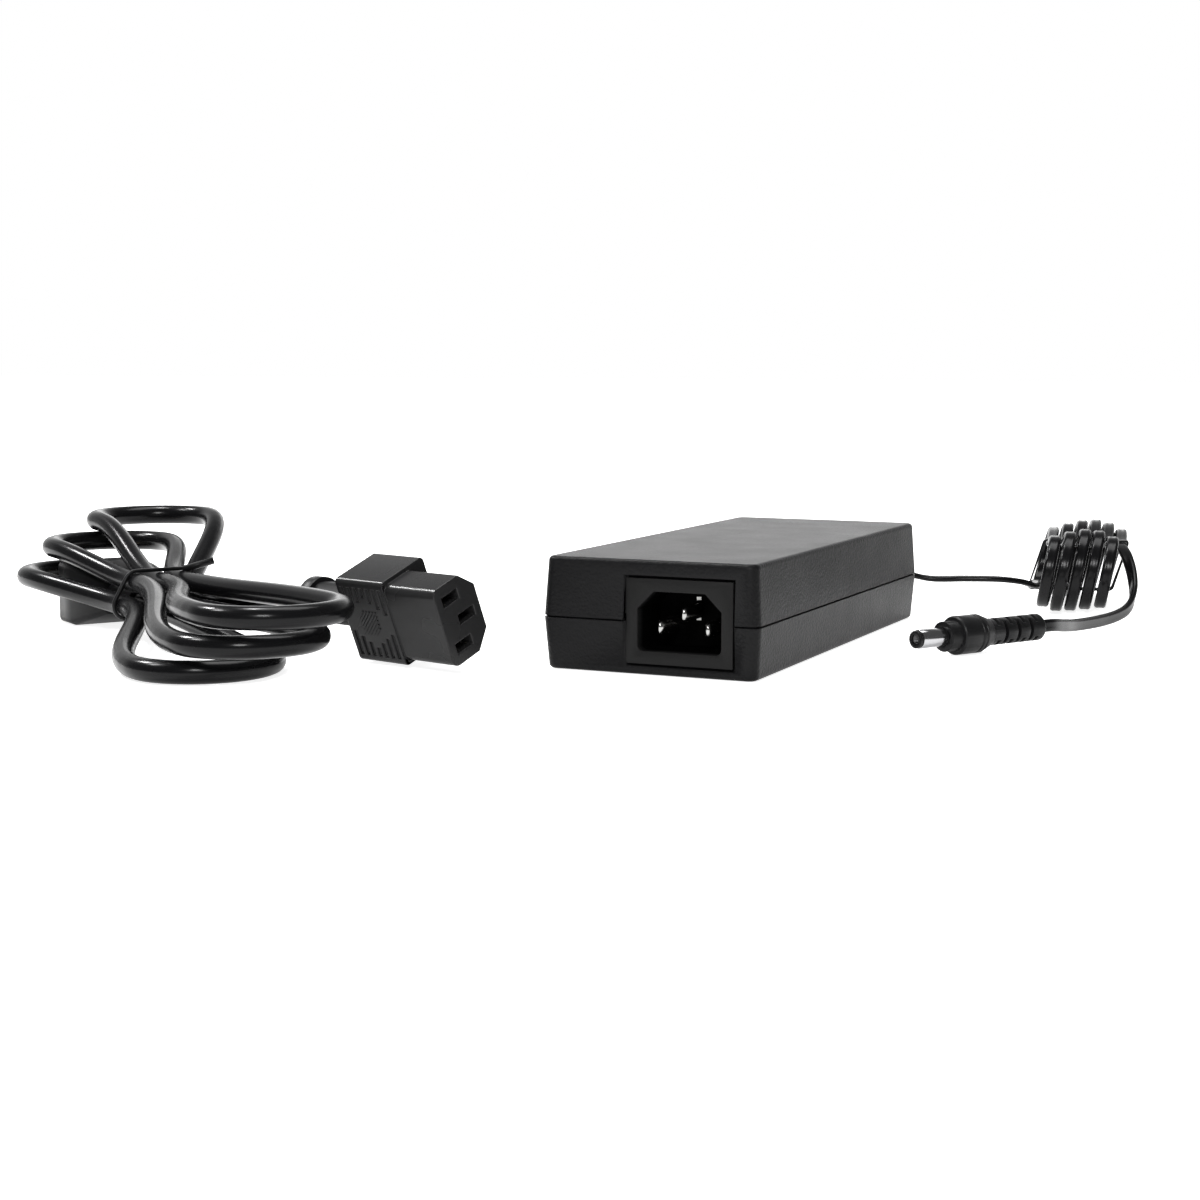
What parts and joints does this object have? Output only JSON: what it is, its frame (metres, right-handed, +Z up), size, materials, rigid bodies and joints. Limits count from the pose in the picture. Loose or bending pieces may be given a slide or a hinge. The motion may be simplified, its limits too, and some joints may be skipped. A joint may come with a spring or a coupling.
{
  "type": "laptop power adapter",
  "caption": "Closed black mains adapter brick with a three-pole inlet, a flat output cord tied in a hank with a barrel plug, and a loose mains lead tied with wire.",
  "frame": {"origin": "middle of the brick's underside", "axes": "+Y along the brick from the mains inlet to the output end, +Z up, +X to the right seen from the inlet end"},
  "size_m": [0.3352, 0.3186, 0.0346],
  "materials": {
    "case_plastic": "fine matte grain",
    "inlet_plastic": "smooth moulded",
    "pin_metal": "nickel plated",
    "sheet": "translucent film",
    "board": "solder mask",
    "component_dark": "moulded",
    "component_light": "moulded",
    "film_yellow": "tape and moulded boxes",
    "ferrite": "sintered",
    "copper": "enamelled wire",
    "sink": "mill finish",
    "disc_blue": "dipped",
    "wire_red": "insulated wire",
    "cord": "glossy flexible sleeve",
    "plug_rubber": "satin moulded",
    "barrel_metal": "nickel plated",
    "blade_metal": "plain brass"
  },
  "bodies": {
    "root": {"top_shell": "case_plastic", "bottom_shell": "case_plastic", "inlet_housing": "inlet_plastic", "line_pin": "pin_metal", "neutral_pin": "pin_metal", "earth_pin": "pin_metal", "insulation_sheet": "sheet", "circuit_board": "board", "fuse": "component_light", "x_capacitor": "film_yellow", "choke_core": "ferrite", "choke_winding": "copper", "bridge_rectifier": "component_dark", "bulk_capacitor": "component_dark", "primary_heatsink": "sink", "switching_transistor": "component_dark", "transformer_core": "ferrite", "transformer_winding": "film_yellow", "y_capacitors": "disc_blue", "optocoupler": "component_dark", "secondary_heatsink": "sink", "output_rectifier": "component_dark", "output_capacitors": "component_dark", "output_choke": "copper", "output_wires": "wire_red", "dc_bushing": "plug_rubber", "dc_cord_lead": "cord", "dc_cord_hank": "cord", "dc_cord_tail": "cord", "dc_cord_tie": "plug_rubber", "dc_plug_body": "plug_rubber", "dc_plug_barrel": "barrel_metal", "dc_plug_insulator": "plug_rubber", "dc_plug_contact": "barrel_metal", "connector_body": "inlet_plastic", "connector_contacts": "blade_metal", "connector_relief": "plug_rubber", "mains_cord_lead": "cord", "mains_cord_hank": "cord", "mains_cord_tie": "plug_rubber", "mains_plug_relief": "plug_rubber", "mains_plug_body": "plug_rubber", "mains_plug_blades": "blade_metal", "mains_plug_earth_pin": "blade_metal"}
  },
  "joints": []
}
